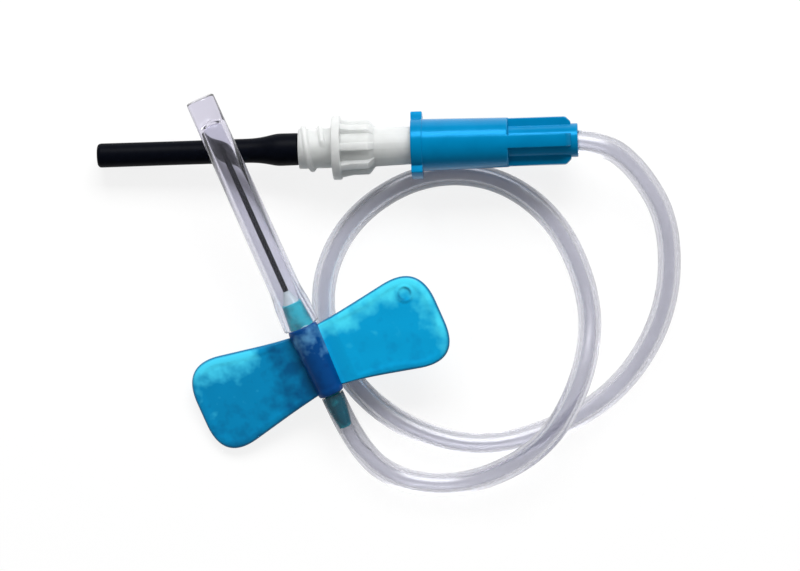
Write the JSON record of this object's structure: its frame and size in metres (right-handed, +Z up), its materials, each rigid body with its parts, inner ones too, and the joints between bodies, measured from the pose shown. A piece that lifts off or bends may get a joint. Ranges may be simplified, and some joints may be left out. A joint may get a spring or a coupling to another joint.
{
  "type": "butterfly needle",
  "caption": "Winged needle set: sheathed needle between flexible wings, coiled clear tube, female luer connector, and a threaded luer adapter with a rubber-sleeved rear needle.",
  "frame": {"origin": "middle of the set without its tube, on the surface that it lies on", "axes": "+X along the connector towards the tube's end, +Y from the wings towards the connector, +Z up"},
  "size_m": [0.0677, 0.0463, 0.01],
  "materials": {
    "needle_steel": "polished",
    "hub_blue": "gloss, translucent",
    "clear_adhesive": "gloss, clear",
    "wing_blue_deep": "soft gloss, translucent",
    "wing_blue": "soft gloss, translucent",
    "clear_sheath": "gloss, clear",
    "black_rubber": "matte",
    "white_plastic": "satin, slightly translucent",
    "connector_blue": "gloss",
    "clear_tube": "gloss, clear"
  },
  "bodies": {
    "set": {"needle_hub": "hub_blue", "patient_cannula": "needle_steel", "hub_adhesive": "clear_adhesive", "wing_sleeve": "wing_blue_deep", "tubing": "clear_tube", "luer_connector": "connector_blue"},
    "sheath": {"needle_sheath": "clear_sheath"},
    "left_wing": {"wing_left": "wing_blue"},
    "right_wing": {"wing_right": "wing_blue"},
    "adapter": {"adapter_hub": "white_plastic", "rear_cannula": "needle_steel", "adapter_adhesive": "clear_adhesive", "rubber_sleeve": "black_rubber"}
  },
  "joints": [
    {"name": "sheath_pull", "type": "slide", "parent": "set", "child": "sheath", "axis": [-0.4033, 0.9059, 0.1288], "range_m": [0, 0.03]},
    {"name": "left_wing_fold", "type": "hinge", "parent": "set", "child": "left_wing", "pos_m": [-0.0053, -0.00941, 0.0036], "axis": [-0.4033, 0.9059, 0.1288], "range_deg": [0, 85], "stiffness_Nm_per_rad": 0.0025},
    {"name": "right_wing_fold", "type": "hinge", "parent": "set", "child": "right_wing", "pos_m": [-0.00091, -0.00758, 0.00451], "axis": [0.4033, -0.9059, -0.1288], "range_deg": [0, 85], "stiffness_Nm_per_rad": 0.0025},
    {"name": "adapter_pull", "type": "slide", "parent": "set", "child": "adapter", "axis": [-0.9979, -0.0308, -0.0576], "range_m": [0, 0.006]}
  ]
}
